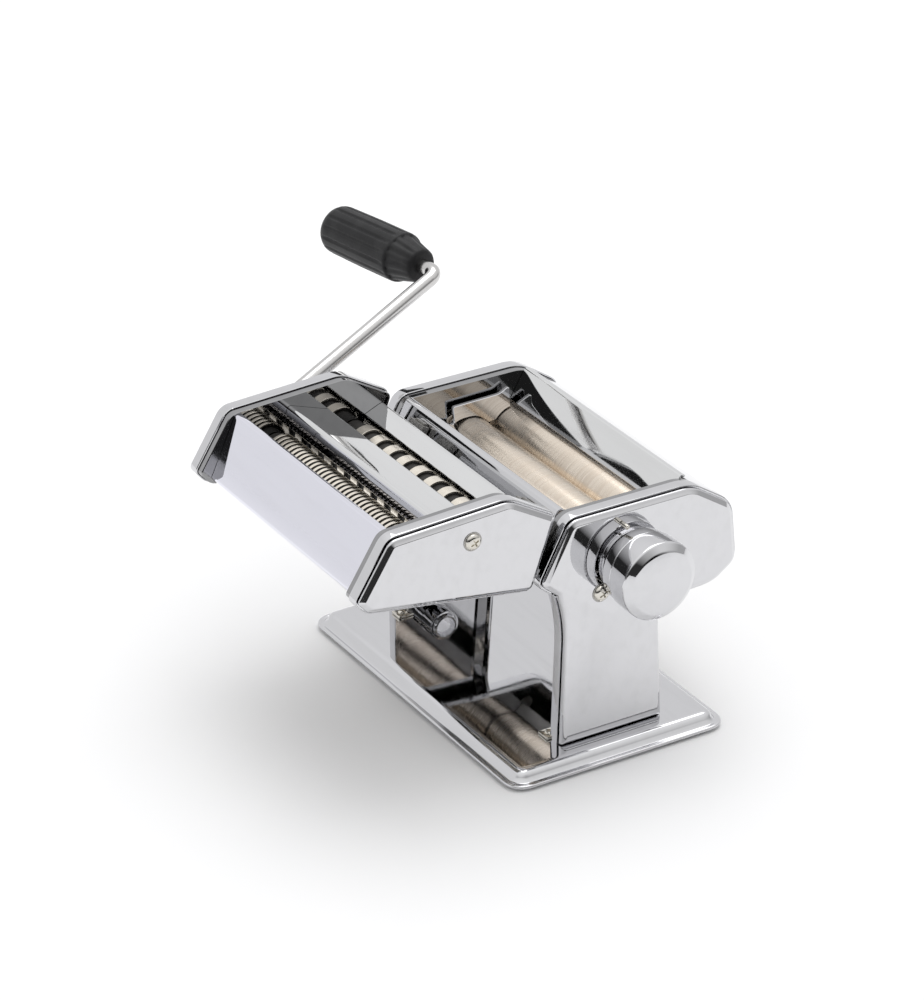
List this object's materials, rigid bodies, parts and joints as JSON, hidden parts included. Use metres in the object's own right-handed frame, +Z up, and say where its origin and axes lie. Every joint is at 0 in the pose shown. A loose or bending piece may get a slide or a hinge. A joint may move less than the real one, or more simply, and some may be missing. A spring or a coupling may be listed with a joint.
{
  "type": "pasta roller machine",
  "caption": "Hand-cranked chromed steel pasta machine with smooth sheeting rollers, a gap knob, a lift-off two-width cutter head and a plug-in crank.",
  "frame": {"origin": "middle of the whole machine's box in plan, at the height of the feet", "axes": "+X along the rollers towards the gap knob, +Y from the cutter head towards the rear of the hopper, +Z up"},
  "size_m": [0.3132, 0.2192, 0.1904],
  "materials": {
    "chrome_plate": "mirror chrome plate on pressed steel",
    "bright_steel": "plain machined steel",
    "roller_satin": "satin turned rollers with fine lines",
    "nickel_plate": "nickel-plated, satin to bright",
    "rubber": "matt black",
    "black_plastic": "semi-matt ribbed moulding"
  },
  "bodies": {
    "frame": {"base_pan": "chrome_plate", "rubber_foot_1": "rubber", "rubber_foot_2": "rubber", "rubber_foot_3": "rubber", "rubber_foot_4": "rubber", "near_side_plate": "chrome_plate", "far_side_plate": "chrome_plate", "near_bearing_plate": "bright_steel", "far_bearing_plate": "bright_steel", "clamp_bush": "chrome_plate", "near_plate_screw": "nickel_plate", "far_plate_screw": "nickel_plate", "front_hopper_panel": "chrome_plate", "rear_hopper_panel": "chrome_plate", "rear_cover": "chrome_plate", "near_end_guard": "chrome_plate", "far_end_guard": "chrome_plate", "rear_scraper": "bright_steel", "drive_bush": "nickel_plate", "knob_collar": "chrome_plate", "index_pin": "nickel_plate", "near_head_rail": "bright_steel", "far_head_rail": "bright_steel"},
    "rear_roller": {"rear_roller": "roller_satin", "rear_roller_gear": "bright_steel"},
    "pinion": {"drive_pinion": "bright_steel"},
    "carriage": {"near_roller_carrier": "bright_steel", "far_roller_carrier": "bright_steel", "front_scraper": "bright_steel"},
    "front_roller": {"front_roller": "roller_satin", "front_roller_gear": "bright_steel"},
    "cam": {"knob_cam": "bright_steel"},
    "knob": {"gap_knob": "chrome_plate"},
    "cutter_head": {"near_cutter_plate": "chrome_plate", "far_cutter_plate": "chrome_plate", "near_cutter_bearing": "bright_steel", "far_cutter_bearing": "bright_steel", "cutter_front_panel": "chrome_plate", "cutter_ridge": "chrome_plate", "cutter_rear_panel": "chrome_plate", "narrow_comb_front": "bright_steel", "narrow_comb_rear": "bright_steel", "wide_comb_front": "bright_steel", "wide_comb_rear": "bright_steel", "near_head_shoe": "bright_steel", "far_head_shoe": "bright_steel", "near_cutter_screw": "nickel_plate", "far_cutter_screw": "nickel_plate"},
    "narrow_rear": {"narrow_cutter_rear": "roller_satin", "narrow_gear_rear": "bright_steel"},
    "narrow_front": {"narrow_cutter_front": "roller_satin", "narrow_gear_front": "bright_steel"},
    "wide_rear": {"wide_cutter_rear": "roller_satin", "wide_gear_rear": "bright_steel"},
    "wide_front": {"wide_cutter_front": "roller_satin", "wide_gear_front": "bright_steel"},
    "crank": {"crank_rod": "nickel_plate"},
    "grip": {"crank_grip": "black_plastic"}
  },
  "joints": [
    {"name": "roller_spin", "type": "hinge", "parent": "frame", "child": "rear_roller", "pos_m": [0.04356, 0.07288, 0.1027], "axis": [1, 0, 0], "continuous": true},
    {"name": "pinion_spin", "type": "hinge", "parent": "frame", "child": "pinion", "pos_m": [0.04356, 0.0867, 0.08623], "axis": [1, 0, 0], "continuous": true},
    {"name": "knob_turn", "type": "hinge", "parent": "frame", "child": "cam", "pos_m": [0.13856, 0.04528, 0.1027], "axis": [1, 0, 0], "range_deg": [0, 300]},
    {"name": "knob_pull", "type": "slide", "parent": "cam", "child": "knob", "axis": [1, 0, 0], "range_m": [0, 0.004], "stiffness_N_per_m": 400, "springref_m": -0.002},
    {"name": "gap_slide", "type": "slide", "parent": "frame", "child": "carriage", "axis": [0, -1, 0], "range_m": [0, 0.00241]},
    {"name": "front_roller_spin", "type": "hinge", "parent": "carriage", "child": "front_roller", "pos_m": [0.04356, 0.04528, 0.1027], "axis": [1, 0, 0], "continuous": true},
    {"name": "head_lift", "type": "slide", "parent": "frame", "child": "cutter_head", "axis": [0, 0.4587, 0.8886], "range_m": [0, 0.06]},
    {"name": "narrow_drive", "type": "hinge", "parent": "cutter_head", "child": "narrow_rear", "pos_m": [0.04356, -0.06682, 0.127], "axis": [1, 0, 0], "continuous": true},
    {"name": "narrow_idler", "type": "hinge", "parent": "cutter_head", "child": "narrow_front", "pos_m": [0.04356, -0.08482, 0.127], "axis": [1, 0, 0], "continuous": true},
    {"name": "wide_drive", "type": "hinge", "parent": "cutter_head", "child": "wide_rear", "pos_m": [0.04356, -0.02172, 0.123], "axis": [1, 0, 0], "continuous": true},
    {"name": "wide_idler", "type": "hinge", "parent": "cutter_head", "child": "wide_front", "pos_m": [0.04356, -0.03972, 0.123], "axis": [1, 0, 0], "continuous": true},
    {"name": "crank_pull", "type": "slide", "parent": "narrow_rear", "child": "crank", "axis": [-1, 0, 0], "range_m": [0, 0.016]},
    {"name": "grip_spin", "type": "hinge", "parent": "crank", "child": "grip", "pos_m": [-0.06834, 0.05307, 0.17839], "axis": [-0.9912, -0.1216, -0.0521], "continuous": true}
  ],
  "couplings": [
    {"joint": "pinion_spin", "follows": "roller_spin", "ratio": -2},
    {"joint": "front_roller_spin", "follows": "roller_spin", "ratio": -1},
    {"joint": "gap_slide", "follows": "knob_turn", "m_per_rad": 0.00045837},
    {"joint": "narrow_idler", "follows": "narrow_drive", "ratio": -1},
    {"joint": "wide_idler", "follows": "wide_drive", "ratio": -1}
  ]
}
